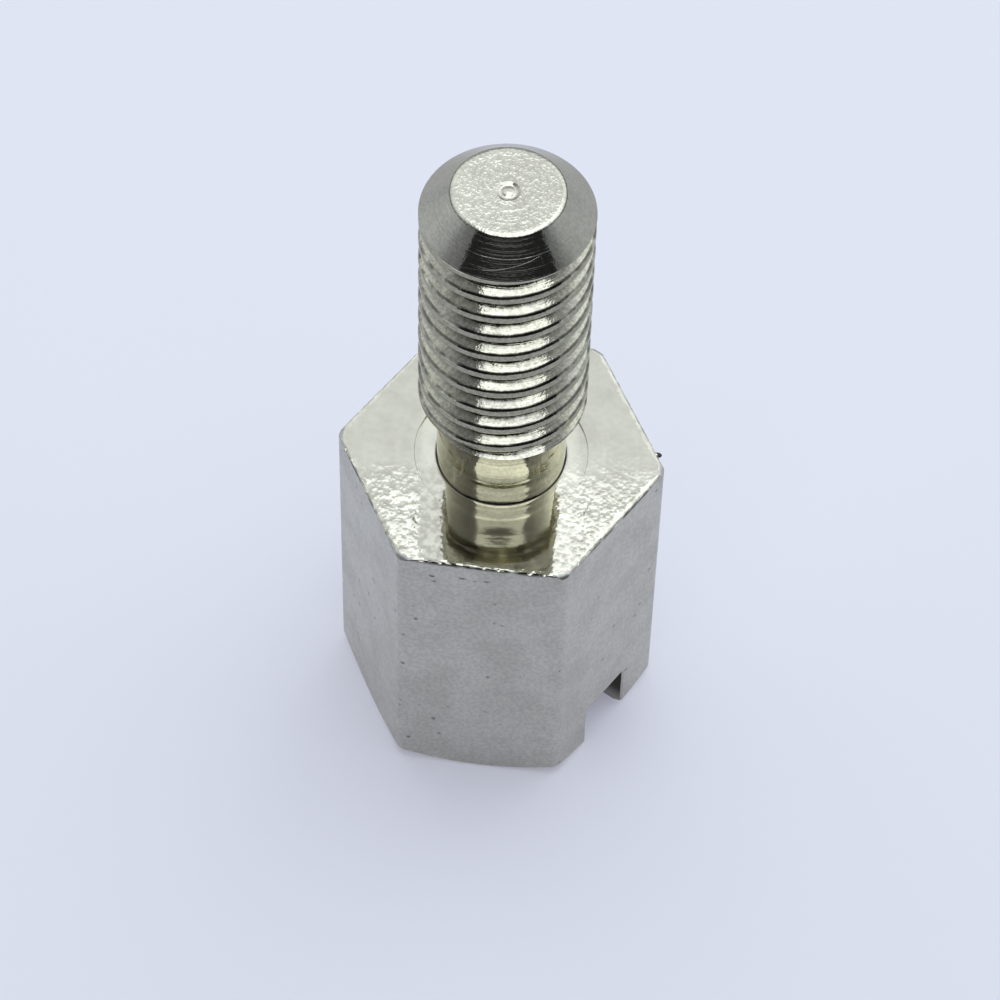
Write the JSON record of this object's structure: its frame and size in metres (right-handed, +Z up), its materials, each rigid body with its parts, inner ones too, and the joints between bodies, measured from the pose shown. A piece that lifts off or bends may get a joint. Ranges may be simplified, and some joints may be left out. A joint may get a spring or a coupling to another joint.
{
  "type": "hex standoff",
  "caption": "One-piece hexagonal standoff with a threaded stud above a relief neck, and a tapped hole with a screwdriver slot in its foot.",
  "frame": {"origin": "centre of the foot face, on the surface that the part stands on", "axes": "+Z up the axis to the stud's tip, X along the screwdriver slot and square to two flats, Y through two corners"},
  "size_m": [0.005, 0.0058, 0.0134],
  "materials": {
    "nickel_plated_brass": "satin"
  },
  "bodies": {
    "root": {"hex_standoff": "nickel_plated_brass"}
  },
  "joints": []
}
